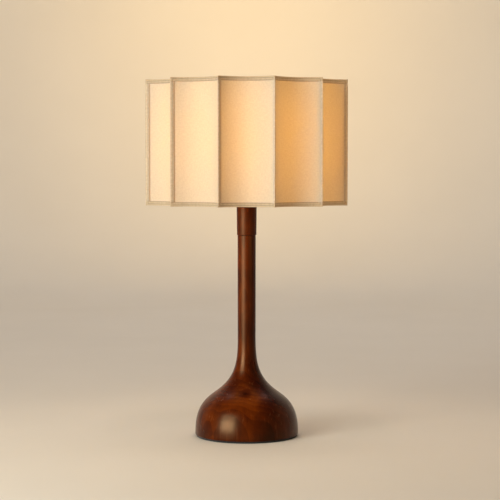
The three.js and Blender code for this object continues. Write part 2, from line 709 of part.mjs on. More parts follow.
function numbered(name, index) {
  return `${name}_${String(index + 1).padStart(2, '0')}`;
}

for (let panel = 0; panel < PANELS; panel++) {
  const first = panel * PANEL_STEPS;
  const last = first + PANEL_STEPS;
  const face = (offset) => {
    const points = [outlineAlong(first, first + 1, PANEL_TRIM, offset)];
    for (let i = first + 1; i < last; i++) points.push(outlineCorner(i, offset));
    points.push(outlineAlong(last, last - 1, PANEL_TRIM, offset));
    return points;
  };
  const section = new THREE.Shape([...face(0), ...face(PANEL_THICKNESS).toReversed()]);
  add(numbered('shade_panel', panel), plate(section, panelBottom, panelTop - panelBottom), linen);
}

// A rib's tape folds over the corner between two panels, between the two edge tapes.
const ribTapeBottom = tapeBottom + TAPE_WIDTH + GAP;
const ribTapeTop = tapeTop - TAPE_WIDTH - GAP;
for (let rib = 0; rib < PANELS; rib++) {
  const corner = rib * PANEL_STEPS;
  const isTurned = TURNED_RIB_TAPES.includes(rib);
  const before = isTurned ? RIB_TAPE.wide : RIB_TAPE.narrow;
  const after = isTurned ? RIB_TAPE.narrow : RIB_TAPE.wide;
  const face = (offset) => [
    outlineAlong(corner, corner - 1, before, offset),
    outlineCorner(corner, offset),
    outlineAlong(corner, corner + 1, after, offset),
  ];
  const section = new THREE.Shape([...face(-GAP - TAPE_THICKNESS), ...face(-GAP).toReversed()]);
  add(numbered('rib_tape', rib), plate(section, ribTapeBottom, ribTapeTop - ribTapeBottom), tape);
}

add('top_tape', edgeTape(tapeTop, -1), tape);
add('bottom_tape', edgeTape(tapeBottom, 1), tape);

export default group;
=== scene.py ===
import math

import bmesh
import bpy
from mathutils import Matrix, Vector, noise


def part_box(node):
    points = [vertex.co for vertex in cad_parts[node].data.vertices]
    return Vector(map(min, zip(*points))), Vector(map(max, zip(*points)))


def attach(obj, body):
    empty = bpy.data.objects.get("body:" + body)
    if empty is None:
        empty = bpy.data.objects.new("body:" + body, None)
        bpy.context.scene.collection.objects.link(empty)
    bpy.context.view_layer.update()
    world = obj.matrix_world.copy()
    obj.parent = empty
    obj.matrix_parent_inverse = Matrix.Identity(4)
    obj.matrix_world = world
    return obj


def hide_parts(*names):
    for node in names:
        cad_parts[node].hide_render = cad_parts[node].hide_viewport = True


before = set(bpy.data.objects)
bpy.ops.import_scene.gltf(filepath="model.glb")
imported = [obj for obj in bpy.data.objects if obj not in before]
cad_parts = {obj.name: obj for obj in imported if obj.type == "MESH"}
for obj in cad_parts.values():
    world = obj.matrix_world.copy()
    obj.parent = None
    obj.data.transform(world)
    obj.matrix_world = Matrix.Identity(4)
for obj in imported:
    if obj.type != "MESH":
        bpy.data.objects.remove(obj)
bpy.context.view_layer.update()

# A table lamp: a turned walnut base and stem under a lit, scalloped fabric shade.
# Metres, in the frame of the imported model, with the lamp's front facing -Y.

MM = 0.001
GAP = 0.3 * MM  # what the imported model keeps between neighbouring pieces

# ---- camera ----

CAMERA_PLACE = (0.0057, -2.760, 0.469)
CAMERA_TILT = math.radians(3.08)  # how far it looks down
CAMERA_LENS = 115.8


def make_camera():
    camera = bpy.data.objects.new("camera", bpy.data.cameras.new("camera"))
    camera.data.lens = CAMERA_LENS
    camera.location = CAMERA_PLACE
    camera.rotation_euler = (math.pi / 2 - CAMERA_TILT, 0, 0)
    bpy.context.scene.collection.objects.link(camera)
    bpy.context.scene.camera = camera


make_camera()

# ---- mesh helpers ----


def bottom(node):
    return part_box(node)[0].z


def top(node):
    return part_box(node)[1].z


def radius(node):
    low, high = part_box(node)
    return (high.x - low.x) / 2


def to_object(name, bm, material, sharp_angle=38):
    """Makes a bmesh an object with smooth faces that break at the sharp angle, in degrees."""
    bmesh.ops.remove_doubles(bm, verts=bm.verts, dist=1e-7)
    bmesh.ops.dissolve_degenerate(bm, edges=bm.edges, dist=1e-7)
    bmesh.ops.recalc_face_normals(bm, faces=bm.faces)
    mesh = bpy.data.meshes.new(name)
    bm.to_mesh(mesh)
    bm.free()
    mesh.polygons.foreach_set("use_smooth", [True] * len(mesh.polygons))
    mesh.set_sharp_from_angle(angle=math.radians(sharp_angle))
    piece = bpy.data.objects.new(name, mesh)
    bpy.context.scene.collection.objects.link(piece)
    mesh.materials.append(material)
    return piece


def stand_for(piece, body, slot_name, *nodes):
    """The piece rides on a body and replaces CAD nodes; the slot name is not used."""
    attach(piece, body)
    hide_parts(*nodes)
    return piece


def loft(bm, rows, closed_rows=False, closed_columns=False):
    """Joins rows of points, all of one length, into a skin of quads, and returns the vertices."""
    grid = [[bm.verts.new(point) for point in row] for row in rows]
    row_count = len(grid) if closed_rows else len(grid) - 1
    column_count = len(grid[0]) if closed_columns else len(grid[0]) - 1
    for i in range(row_count):
        here, there = grid[i], grid[(i + 1) % len(grid)]
        for k in range(column_count):
            after = (k + 1) % len(here)
            bm.faces.new((here[k], here[after], there[after], there[k]))
    return grid


def spin(profile, segments, at=(0, 0)):
    """Rows of points: a profile of (radius, height) at each angle about a vertical axis."""
    rows = []
    for i in range(segments):
        angle = 2 * math.pi * i / segments
        cos, sin = math.cos(angle), math.sin(angle)
        rows.append([(at[0] + r * cos, at[1] + r * sin, z) for r, z in profile])
    return rows


def turned(name, profile, material, segments, at=(0, 0)):
    """A solid turned from a closed profile."""
    bm = bmesh.new()
    loft(bm, spin(profile, segments, at), closed_rows=True, closed_columns=True)
    return to_object(name, bm, material)


def bezier(start, pull_start, pull_end, end, steps):
    points = []
    for i in range(steps + 1):
        t = i / steps
        s = 1 - t
        weights = (s * s * s, 3 * s * s * t, 3 * s * t * t, t * t * t)
        ends = (start, pull_start, pull_end, end)
        points.append(tuple(sum(w * p[k] for w, p in zip(weights, ends)) for k in (0, 1)))
    return points


def arc(centre, size, first, last, steps):
    """Points on an arc of (radius, height), its angles in degrees."""
    points = []
    for i in range(steps + 1):
        angle = math.radians(first + (last - first) * i / steps)
        points.append((centre[0] + size * math.cos(angle), centre[1] + size * math.sin(angle)))
    return points


def tube(bm, path, size, sides):
    """Sweeps a round wire along a path of points, and closes its ends."""
    path = [Vector(point) for point in path]
    ways = []
    for i in range(len(path)):
        before, after = path[max(i - 1, 0)], path[min(i + 1, len(path) - 1)]
        ways.append((after - before).normalized())
    across = ways[0].orthogonal().normalized()
    rows = []
    for point, way in zip(path, ways):
        across = (across - way * across.dot(way)).normalized()
        up = way.cross(across)
        row = []
        for k in range(sides):
            angle = 2 * math.pi * k / sides
            row.append(point + size * (math.cos(angle) * across + math.sin(angle) * up))
        rows.append(row)
    grid = loft(bm, rows, closed_columns=True)
    bm.faces.new(grid[0])
    bm.faces.new(grid[-1])


def smooth_path(points, steps):
    """A smooth curve through the points, with that many steps between each two."""
    points = [Vector(point) for point in points]
    ends = [2 * points[0] - points[1], *points, 2 * points[-1] - points[-2]]
    path = []
    for i in range(1, len(ends) - 2):
        p0, p1, p2, p3 = ends[i - 1 : i + 3]
        for k in range(steps):
            t = k / steps
            path.append(
                0.5 * (2 * p1 + (p2 - p0) * t + (2 * p0 - 5 * p1 + 4 * p2 - p3) * t * t
                       + (3 * p1 - p0 - 3 * p2 + p3) * t * t * t)
            )
    path.append(points[-1])
    return path


def join(name, *pieces):
    """Makes one mesh object out of several."""
    bm = bmesh.new()
    for piece in pieces:
        bm.from_mesh(piece.data)
    material = pieces[0].data.materials[0]
    for piece in pieces:
        bpy.data.objects.remove(piece)
    return to_object(name, bm, material)


def cut_with(piece, tool):
    """Cuts a tool out of a piece, and removes the tool."""
    modifier = piece.modifiers.new("cut", "BOOLEAN")
    modifier.operation = "DIFFERENCE"
    modifier.solver = "EXACT"
    modifier.object = tool
    bpy.context.view_layer.update()
    ready = piece.evaluated_get(bpy.context.evaluated_depsgraph_get())
    mesh = bpy.data.meshes.new_from_object(ready)
    piece.modifiers.clear()
    piece.data = mesh
    bpy.data.objects.remove(tool)


# ---- material helpers ----


class Nodes:
    """Short words for the nodes of one material."""

    def __init__(self, name):
        self.material = bpy.data.materials.new(name)
        self.material.use_nodes = True
        self.tree = self.material.node_tree
        self.shader = self.tree.nodes["Principled BSDF"]
        self.output = self.tree.nodes["Material Output"]

    def make(self, kind, values=(), **settings):
        node = self.tree.nodes.new("ShaderNode" + kind)
        for key, value in settings.items():
            setattr(node, key, value)
        for key, value in dict(values).items():
            if isinstance(value, bpy.types.NodeSocket):
                self.tree.links.new(value, node.inputs[key])
            else:
                node.inputs[key].default_value = value
        return node

    def place(self, scale=(1, 1, 1), shift=(0, 0, 0), source="Object"):
        coordinates = self.make("TexCoord")
        values = {"Vector": coordinates.outputs[source], "Scale": scale, "Location": shift}
        return self.make("Mapping", values).outputs["Vector"]

    def weave_place(self, scale=(1, 1, 1)):
        own_map = self.make("UVMap", uv_map="weave")
        values = {"Vector": own_map.outputs["UV"], "Scale": scale}
        return self.make("Mapping", values).outputs["Vector"]

    def noise(self, vector, scale, detail=3, roughness=0.5, distortion=0):
        values = {
            "Vector": vector, "Scale": scale, "Detail": detail,
            "Roughness": roughness, "Distortion": distortion,
        }
        return self.make("TexNoise", values).outputs["Fac"]

    def ramp(self, factor, *stops):
        node = self.make("ValToRGB", {"Fac": factor})
        elements = node.color_ramp.elements
        while len(elements) < len(stops):
            elements.new(0.5)
        for element, (position, colour) in zip(elements, stops):
            element.position = position
            element.color = (*colour, 1)
        return node.outputs["Color"]

    def levels(self, factor, low, high, to_low, to_high):
        values = {
            "Value": factor, "From Min": low, "From Max": high,
            "To Min": to_low, "To Max": to_high,
        }
        return self.make("MapRange", values).outputs["Result"]

    def maths(self, operation, first, second=0.0):
        return self.make("Math", {0: first, 1: second}, operation=operation).outputs[0]

    def blend(self, *parts):
        """Adds up values, each times its own weight."""
        weighed = [self.maths("MULTIPLY", value, weight) for value, weight in parts]
        total = weighed[0]
        for value in weighed[1:]:
            total = self.maths("ADD", total, value)
        return total

    def mix(self, factor, first, second, blend="MIX"):
        node = self.make("Mix", data_type="RGBA", blend_type=blend)
        for key, value in ((0, factor), (6, first), (7, second)):
            if isinstance(value, bpy.types.NodeSocket):
                self.tree.links.new(value, node.inputs[key])
            else:
                node.inputs[key].default_value = value if key == 0 else (*value, 1)
        return node.outputs[2]

    def bump(self, height, distance, strength=1.0):
        values = {"Height": height, "Distance": distance, "Strength": strength}
        return self.make("Bump", values).outputs["Normal"]

    def set(self, **values):
        for key, value in values.items():
            socket = self.shader.inputs[key.replace("_", " ")]
            if isinstance(value, bpy.types.NodeSocket):
                self.tree.links.new(value, socket)
            else:
                socket.default_value = value
        return self.material

    def shine_through(self, share, colour, normal):
        """Makes a share of the surface let light through from behind, in a colour."""
        glow = self.make("BsdfTranslucent", {"Color": colour, "Normal": normal}).outputs[0]
        mixed = self.make("MixShader", {0: share, 1: self.shader.outputs[0], 2: glow})
        self.tree.links.new(mixed.outputs[0], self.output.inputs["Surface"])
        return self.material


# ---- materials ----

PITH = (-0.012, -0.036, 0)  # added to a place, so it stands behind the lamp's axis
DARK_SPOT = (-0.0025, -0.051, 0.0790)  # a small dark spot on the shoulder
LIT_PATCH = (0.000, -0.066, 0.066)  # painted light: a lighter patch round it, where the bulb's light falls on the shoulder
LINEN_THREAD = 0.55 * MM  # from thread to thread
TAPE_RIB, TAPE_YARN = 0.8 * MM, 0.5 * MM  # from rib to rib, and from yarn to yarn
TAPE_GROOVES = (2.9 * MM, 6.5 * MM)  # how far from the fold they lie


def make_walnut():
    """Growth rings about a pith behind the axis: straight grain on the stem, arches on the bell."""
    nodes = Nodes("walnut")
    wander = nodes.noise(nodes.place((1, 1, 0.3)), 11, detail=2)
    sway = nodes.levels(wander, 0, 1, -0.014, 0.014)
    push = nodes.make("CombineXYZ", {"X": sway, "Y": sway}).outputs[0]
    place = nodes.make("VectorMath", {0: nodes.place((1, 1, 0.2), PITH), 1: push}, operation="ADD")
    values = {
        "Vector": place.outputs[0], "Scale": 46, "Distortion": 2.0, "Detail": 1.5,
        "Detail Scale": 0.8, "Detail Roughness": 0.5,
    }
    rings = nodes.make(
        "TexWave", values, wave_type="RINGS", rings_direction="Z", wave_profile="SAW"
    ).outputs["Fac"]
    streaks = nodes.noise(nodes.place((1, 1, 0.05)), 170, detail=4, roughness=0.62)
    pores = nodes.noise(nodes.place((1, 1, 0.035)), 1000, detail=2, roughness=0.7)
    clouds = nodes.noise(nodes.place((1, 1, 0.7)), 22, detail=3, roughness=0.55, distortion=0.4)
    figure = nodes.levels(rings, 0, 1, 0.10, 0.18)
    figure = nodes.maths("ADD", figure, nodes.blend((streaks, 0.16), (clouds, 0.62)))
    # Painted light: the wood is drawn lighter round the spot, where the bulb's light falls on the
    # shoulder.
    from_lit_patch = nodes.make("VectorMath", {0: nodes.place(), 1: LIT_PATCH}, operation="DISTANCE")
    lit_patch = nodes.levels(from_lit_patch.outputs["Value"], 0.004, 0.046, 0.17, 0.0)
    from_dark_spot = nodes.make("VectorMath", {0: nodes.place(), 1: DARK_SPOT}, operation="DISTANCE")
    dark_spot = nodes.levels(from_dark_spot.outputs["Value"], 0.001, 0.0125, 0.24, 0.0)
    figure = nodes.maths("SUBTRACT", nodes.maths("ADD", figure, lit_patch), dark_spot)
    # Painted shade: the side that faces +X is drawn darker, as the key light falls from the other
    # side.
    painted_shade_side = nodes.make("SeparateXYZ", {0: nodes.place(source="Normal")}).outputs["X"]
    figure = nodes.maths("SUBTRACT", figure, nodes.levels(painted_shade_side, -0.1, 0.4, 0.0, 0.16))
    colour = nodes.ramp(
        figure,
        (0.30, (0.018, 0.0012, 0.0001)),
        (0.50, (0.058, 0.0068, 0.0001)),
        (0.62, (0.112, 0.0170, 0.0002)),
        (0.80, (0.195, 0.0360, 0.0005)),
    )
    pore_dark = nodes.levels(pores, 0.34, 0.48, 0.84, 1.0)
    tint = nodes.make("CombineColor", {"Red": pore_dark, "Green": pore_dark, "Blue": pore_dark})
    colour = nodes.mix(1.0, colour, tint.outputs[0], "MULTIPLY")
    # The base is polished more than the stem.
    height = nodes.make("SeparateXYZ", {0: nodes.place()}).outputs["Z"]
    rough = nodes.levels(streaks, 0.3, 0.7, 0.24, 0.28)
    rough = nodes.maths("ADD", rough, nodes.levels(height, 0.12, 0.20, 0.0, 0.15))
    normal = nodes.bump(pores, 0.00005, 0.25)
    return nodes.set(
        Base_Color=colour, Roughness=rough, Normal=normal, IOR=1.5,
        Specular_IOR_Level=0.27, Specular_Tint=(1.0, 0.62, 0.32, 1),
    )


def make_felt():
    nodes = Nodes("black_felt")
    fibres = nodes.noise(nodes.place(), 1400, detail=4, roughness=0.8)
    colour = nodes.ramp(fibres, (0.3, (0.004, 0.004, 0.004)), (0.8, (0.016, 0.015, 0.015)))
    return nodes.set(
        Base_Color=colour, Roughness=0.95, Normal=nodes.bump(fibres, 0.0006),
        Sheen_Weight=0.25, Sheen_Roughness=0.5,
    )


def thread_waves(nodes, *pitches):
    """Waves along each axis of the weave, and their heights, at one thread for each pitch."""
    place = nodes.weave_place((*(1 / pitch for pitch in pitches), 1))
    parts = nodes.make("SeparateXYZ", {0: place})
    turns = [nodes.maths("MULTIPLY", parts.outputs[axis], math.pi) for axis in ("X", "Y")]
    waves = [nodes.maths("SINE", turn) for turn in turns]
    return waves, [nodes.maths("ABSOLUTE", wave) for wave in waves]


def thread_height(nodes, pitch):
    """The height of a plain weave whose threads lie a pitch apart, over and under each other."""
    waves, ridges = thread_waves(nodes, pitch, pitch)
    crossing = nodes.maths("MULTIPLY", *waves)
    return nodes.maths("MULTIPLY", nodes.maths("ADD", crossing, nodes.maths("ADD", *ridges)), 0.5)


def make_linen():
    """Fine linen bonded to a clear backing, which the bulb shines through."""
    nodes = Nodes("shade_linen")
    threads = thread_height(nodes, LINEN_THREAD)
    slub_up = nodes.noise(nodes.weave_place((1, 0.14, 1)), 1100, detail=2)
    slub_across = nodes.noise(nodes.weave_place((0.14, 1, 1)), 1100, detail=2)
    mottle = nodes.noise(nodes.weave_place(), 330, detail=3, roughness=0.6)
    slub = nodes.maths("ADD", slub_up, slub_across)
    cloth = nodes.blend((slub, 0.3), (mottle, 0.4))
    front = nodes.ramp(cloth, (0.40, (0.78, 0.71, 0.59)), (0.64, (0.86, 0.80, 0.69)))
    through = nodes.ramp(cloth, (0.40, (0.86, 0.63, 0.13)), (0.64, (0.97, 0.74, 0.18)))
    # Painted shadow: the cloth is drawn darker beside the rib tape's wide leg, where the rib shades
    # it, and softly darker beside the edge tapes.
    hem = nodes.make("SeparateXYZ", {0: nodes.make("UVMap", uv_map="hem").outputs["UV"]})
    painted_shadow_by_rib = nodes.levels(hem.outputs["X"], 0.0006, 0.0019, 0.55, 0.0)
    front = nodes.mix(painted_shadow_by_rib, front, (0.52, 0.27, 0.09))
    through = nodes.mix(painted_shadow_by_rib, through, (0.52, 0.24, 0.02))
    shadow = nodes.levels(hem.outputs["Y"], 0.0002, 0.0010, 0.30, 0.0)
    front = nodes.mix(shadow, front, (0.50, 0.34, 0.18))
    through = nodes.mix(shadow, through, (0.50, 0.30, 0.05))
    height = nodes.maths("ADD", threads, nodes.maths("MULTIPLY", slub, 0.8))
    normal = nodes.bump(height, 0.00010, 0.5)
    nodes.set(Base_Color=front, Roughness=0.86, Normal=normal, Sheen_Weight=0.1)
    return nodes.shine_through(0.4, through, normal)


def make_tape(name, dark, light):
    """Ribbed cotton tape, darker down its sewn grooves, which turn the corners in a mitre."""
    nodes = Nodes(name)
    ribs, yarns = thread_waves(nodes, TAPE_RIB, TAPE_YARN)[1]
    fuzz = nodes.noise(nodes.weave_place(), 1500, detail=3)
    mottle = nodes.noise(nodes.weave_place((1, 0.4, 1)), 300, detail=3)
    height = nodes.blend((ribs, 0.7), (yarns, 0.3), (fuzz, 0.4))
    tone = nodes.blend((mottle, 0.8), (ribs, 0.15))
    colour = nodes.ramp(tone, (0.30, dark), (0.70, light))
    seam = nodes.make("SeparateXYZ", {0: nodes.make("UVMap", uv_map="seam").outputs["UV"]})
    across = nodes.maths("MINIMUM", seam.outputs["X"], seam.outputs["Y"])
    for groove in TAPE_GROOVES:
        off = nodes.maths("ABSOLUTE", nodes.maths("SUBTRACT", across, groove))
        dark_line = nodes.levels(off, 0.0001, 0.0008, 0.6, 0.0)
        colour = nodes.mix(dark_line, colour, (0.25, 0.155, 0.080))
    normal = nodes.bump(height, 0.00018, 0.7)
    nodes.set(Base_Color=colour, Roughness=0.88, Normal=normal, Sheen_Weight=0.15)
    return nodes.shine_through(0.12, (0.80, 0.47, 0.20, 1), normal)


def make_metal(name, dark, light, roughness):
    """Plated metal with faint turning marks and finger wear."""
    nodes = Nodes(name)
    marks = nodes.noise(nodes.place((0.3, 0.3, 6)), 260, detail=3)
    wear = nodes.noise(nodes.place(), 70, detail=4, roughness=0.65)
    colour = nodes.ramp(wear, (0.3, dark), (0.7, light))
    rough = nodes.levels(marks, 0.3, 0.7, roughness - 0.07, roughness + 0.09)
    return nodes.set(
        Base_Color=colour, Metallic=1.0, Roughness=rough, Normal=nodes.bump(marks, 0.00004, 0.5)
    )


def make_paint(name, dark, light, roughness, grain=700, depth=0.00006, **more):
    """Paint or moulded plastic with a fine grain and slight uneven tone."""
    nodes = Nodes(name)
    fine = nodes.noise(nodes.place(), grain, detail=3)
    broad = nodes.noise(nodes.place(), 45, detail=3)
    colour = nodes.ramp(broad, (0.3, dark), (0.7, light))
    rough = nodes.levels(fine, 0.3, 0.7, roughness - 0.06, roughness + 0.08)
    normal = nodes.bump(fine, depth, 0.6)
    return nodes.set(Base_Color=colour, Roughness=rough, Normal=normal, **more)


BULB_GLOW = 31.0


def make_bulb_glass():
    """Frosted glass, lit by the lamp inside, a little dimmer towards its neck."""
    nodes = Nodes("lit_frosted_glass")
    frost = nodes.noise(nodes.place(), 500, detail=2)
    low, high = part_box("bulb_glass")
    parts = nodes.make("SeparateXYZ", {0: nodes.place()})
    glow = nodes.levels(parts.outputs["Z"], low.z, low.z + 0.5 * (high.z - low.z), 0.35, 1.0)
    tint = nodes.ramp(glow, (0.3, (1.0, 0.60, 0.27)), (1.0, (1.0, 0.75, 0.43)))
    return nodes.set(
        Base_Color=(0.9, 0.86, 0.78, 1), Roughness=0.4, Normal=nodes.bump(frost, 0.00005, 0.4),
        Emission_Color=tint, Emission_Strength=BULB_GLOW,
    )


WALNUT = make_walnut()
FELT = make_felt()
LINEN = make_linen()
EDGE_TAPE = make_tape("edge_tape", (0.55, 0.415, 0.26), (0.67, 0.53, 0.36))
# Painted light: the rib tapes are the edge tape's cloth drawn lighter, for the key light that
# catches the ribs.
RIB_TAPE = make_tape("rib_tape", (0.66, 0.52, 0.36), (0.80, 0.66, 0.49))
BRASS = make_metal("satin_brass", (0.42, 0.27, 0.09), (0.62, 0.44, 0.19), 0.28)
STEEL = make_metal("zinc_steel", (0.42, 0.42, 0.41), (0.60, 0.60, 0.59), 0.34)
ALUMINIUM = make_metal("rolled_aluminium", (0.58, 0.58, 0.57), (0.74, 0.74, 0.73), 0.3)
IRON = make_paint(
    "cast_iron", (0.016, 0.015, 0.014), (0.035, 0.033, 0.031), 0.7, 320, 0.0005, Metallic=0.8
)
BLACK_PLASTIC = make_paint("black_plastic", (0.006, 0.006, 0.006), (0.013, 0.012, 0.012), 0.42)
WHITE_PLASTIC = make_paint("white_plastic", (0.70, 0.68, 0.62), (0.78, 0.76, 0.70), 0.4)
CARDBOARD = make_paint("fibre_card", (0.20, 0.13, 0.07), (0.30, 0.21, 0.12), 0.88, 500, 0.0003)
WHITE_WIRE = make_paint("white_powder_coat", (0.70, 0.66, 0.58), (0.80, 0.77, 0.70), 0.42, 900)
BULB_GLASS = make_bulb_glass()

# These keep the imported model's own mesh, and only take a material.
for node_name, material in (
    ("base_weight", IRON),
    ("weight_washer", STEEL),
    ("weight_nut", STEEL),
    ("threaded_rod", STEEL),
    ("gland_nut", BLACK_PLASTIC),
    ("terminal_block", WHITE_PLASTIC),
    ("terminal_screw_left", STEEL),
    ("terminal_screw_right", STEEL),
    ("internal_lead", WHITE_PLASTIC),
    ("socket_liner", CARDBOARD),
    ("socket_core", BLACK_PLASTIC),
    ("center_contact", BRASS),
    ("bulb_insulator", BLACK_PLASTIC),
    ("bulb_contact", STEEL),
    ("screw_shell", BRASS),
    ("bulb_cap", ALUMINIUM),
):
    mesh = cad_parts[node_name].data
    mesh.materials.clear()
    mesh.materials.append(material)

# ---- base and stem ----

BASE_RADIUS = radius("lamp_body")
BODY_BOTTOM = bottom("lamp_body")
COLLAR_BOTTOM = bottom("stem_collar")
STEM_TOP = COLLAR_BOTTOM - GAP
WALL_TOP = 8.6 * MM
SHOULDER = (51.0 * MM, 78.3 * MM)
SHOULDER_SLOPE = 0.66
SHOULDER_PULLS = (17.2 * MM, 36.7 * MM)
BELL_PULL = 47.8 * MM
STEM_FOOT = (15.4 * MM, 170.0 * MM)
FLARE_PULL = 49.0 * MM
STEM_TOP_RADIUS = 15.6 * MM
CAVITY_RADIUS = 70.0 * MM
CAVITY_TOP = 38.3 * MM
CAVITY_BEVEL = 4 * MM
BORE = 5.3 * MM
SPIGOT = (9.0 * MM, 10.0 * MM)
EDGE = 1.1 * MM  # how far the base's bottom edge is rounded


def body_profile():
    way = (-math.cos(SHOULDER_SLOPE), math.sin(SHOULDER_SLOPE))
    before = tuple(s - SHOULDER_PULLS[0] * w for s, w in zip(SHOULDER, way))
    after = tuple(s + SHOULDER_PULLS[1] * w for s, w in zip(SHOULDER, way))
    foot = (BASE_RADIUS, WALL_TOP)
    bell = bezier(foot, (BASE_RADIUS, WALL_TOP + BELL_PULL), before, SHOULDER, 34)
    flare = bezier(SHOULDER, after, (STEM_FOOT[0], STEM_FOOT[1] - FLARE_PULL), STEM_FOOT, 34)
    spigot_top = STEM_TOP + SPIGOT[1]
    return [
        *arc((BASE_RADIUS - EDGE, BODY_BOTTOM + EDGE), EDGE, -90, 0, 5),
        *bell,
        *flare[1:],
        *arc((STEM_TOP_RADIUS - 0.4 * MM, STEM_TOP - 0.4 * MM), 0.4 * MM, 0, 90, 4),
        (SPIGOT[0], STEM_TOP),
        (SPIGOT[0], spigot_top),
        (BORE, spigot_top),
        (BORE, CAVITY_TOP),
        (CAVITY_RADIUS - CAVITY_BEVEL, CAVITY_TOP),
        (CAVITY_RADIUS, CAVITY_TOP - CAVITY_BEVEL),
        (CAVITY_RADIUS, BODY_BOTTOM),
    ]


GLAND_LOW, GLAND_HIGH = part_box("cord_gland")
GLAND_HEIGHT = (GLAND_LOW.z + GLAND_HIGH.z) / 2
GLAND_BORE = 3.3 * MM
GLAND_BARREL = 5.0 * MM
GLAND_FLANGE = radius("cord_gland")
CUT_INSIDE, CUT_OUTSIDE = 50 * MM, 100 * MM  # where the gland's hole is cut from and to


def lay_back(piece):
    """Turns a piece made about the vertical axis onto the gland's axis, which points back."""
    piece.data.transform(Matrix.Rotation(-math.pi / 2, 4, "X"))
    piece.data.transform(Matrix.Translation((0, 0, GLAND_HEIGHT)))
    return piece


body = turned("walnut_body", body_profile(), WALNUT, 160)
hole = turned("gland_hole", [
    (0, CUT_INSIDE), (BORE, CUT_INSIDE), (BORE, CUT_OUTSIDE), (0, CUT_OUTSIDE),
], WALNUT, 32)
cut_with(body, lay_back(hole))
stand_for(body, "stand", "walnut", "lamp_body")

collar_low, collar_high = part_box("stem_collar")
COLLAR_RADII = (16.7 * MM, 17.3 * MM)
COLLAR_ROUND = 0.9 * MM
collar = turned("walnut_collar", [
    (SPIGOT[0] + GAP, collar_low.z),
    *arc((COLLAR_RADII[0] - COLLAR_ROUND, collar_low.z + COLLAR_ROUND), COLLAR_ROUND, -90, 0, 5),
    *arc((COLLAR_RADII[1] - COLLAR_ROUND, collar_high.z - COLLAR_ROUND), COLLAR_ROUND, 0, 90, 5),
    (BORE, collar_high.z),
    (BORE, STEM_TOP + SPIGOT[1] + GAP),
    (SPIGOT[0] + GAP, STEM_TOP + SPIGOT[1] + GAP),
], WALNUT, 96)
stand_for(collar, "stand", "walnut", "stem_collar")

felt_radius = radius("base_felt")
felt_top = top("base_felt")
felt = turned("felt_pad", [
    (0, 0),
    *arc((felt_radius - 0.5 * MM, 0.5 * MM), 0.5 * MM, -90, 0, 3),
    *arc((felt_radius - 0.9 * MM, felt_top - 0.9 * MM), 0.9 * MM, 0, 90, 4),
    (0, felt_top),
], FELT, 160)
stand_for(felt, "stand", "felt", "base_felt")

gland = lay_back(turned("cord_bush", [
    (GLAND_BORE, GLAND_LOW.y),
    (GLAND_BARREL, GLAND_LOW.y),
    (GLAND_BARREL, BASE_RADIUS + GAP),
    (GLAND_FLANGE, BASE_RADIUS + GAP),
    *arc((GLAND_FLANGE - 0.6 * MM, GLAND_HIGH.y - 0.6 * MM), 0.6 * MM, 0, 90, 4),
    *arc((GLAND_BORE + 0.9 * MM, GLAND_HIGH.y - 0.9 * MM), 0.9 * MM, 90, 180, 4),
], BLACK_PLASTIC, 48))
stand_for(gland, "stand", "black_plastic", "cord_gland")

# ---- harp, finial and socket ----

washer_low, washer_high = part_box("neck_washer")
washer = turned("neck_cap", [
    (BORE, washer_low.z),
    (washer_high.x - 0.3 * MM, washer_low.z),
    *arc((washer_high.x - 0.8 * MM, washer_high.z - 0.8 * MM), 0.8 * MM, 0, 90, 4),
    (BORE, washer_high.z),
], BRASS, 64)
stand_for(washer, "stand", "brass", "neck_washer")

saddle_low, saddle_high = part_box("harp_saddle")
HARP_REACH = 26.0 * MM
POST_TOP = saddle_high.z
SADDLE_THICKNESS = 1.5 * MM
SADDLE_WIDTH = saddle_high.y - saddle_low.y
SADDLE_MIDDLE = 12 * MM  # half the length of its widest part
SADDLE_POST = 2 * MM


def make_saddle():
    """A pressed strip with rounded ends, a hole in the middle and a post at each end."""
    bm = bmesh.new()
    half = SADDLE_WIDTH / 2
    end = half - 2 * MM
    outline = []
    for side in (1, -1):
        for i in range(13):
            angle = math.radians(-90 + 180 * i / 12)
            x, y = HARP_REACH + end * math.cos(angle), end * math.sin(angle)
            outline.append((side * x, side * y))
        outline += [(side * SADDLE_MIDDLE, side * half), (side * -SADDLE_MIDDLE, side * half)]
    turns = [math.atan2(y, x) for x, y in outline]
    bore = [(BORE * math.cos(angle), BORE * math.sin(angle)) for angle in turns]
    low, high = saddle_low.z, saddle_low.z + SADDLE_THICKNESS
    edge = 0.35 * MM
    shrink = [(x * (1 - edge / HARP_REACH), y * (1 - edge / half)) for x, y in outline]
    rings = (
        (bore, low), (shrink, low), (outline, low + edge),
        (outline, high - edge), (shrink, high), (bore, high),
    )
    rows = [[(x, y, z) for x, y in plan] for plan, z in rings]
    loft(bm, rows, closed_rows=True, closed_columns=True)
    for side in (-1, 1):
        path = [(side * HARP_REACH, 0, low + 0.5 * MM), (side * HARP_REACH, 0, POST_TOP)]
        tube(bm, path, SADDLE_POST, 16)
    return to_object("harp_saddle_strip", bm, BRASS)


stand_for(make_saddle(), "stand", "brass", "harp_saddle")

HARP_WIRE = 2.0 * MM
HARP_TOP = 584.2 * MM
HARP_HALF = (  # places up one side, in millimetres from the axis and the table
    (26, 416.3), (26, 428), (26, 440), (31, 456), (48, 482), (57, 512), (54, 542), (40, 567),
    (20, 581),
)
STUD_RADIUS = 3.05 * MM
BOSS = (7.0 * MM, 589.0 * MM)
STUD_TOP = 599.3 * MM
STUD_PITCH = 0.94 * MM


def thread_profile(root, crest, low, high, pitch):
    """Points up a thread's outside, a root and a crest for each turn."""
    points = []
    for i in range(round((high - low) / pitch)):
        points += [(root, low + i * pitch), (crest, low + (i + 0.5) * pitch)]
    return [*points, (root, high)]


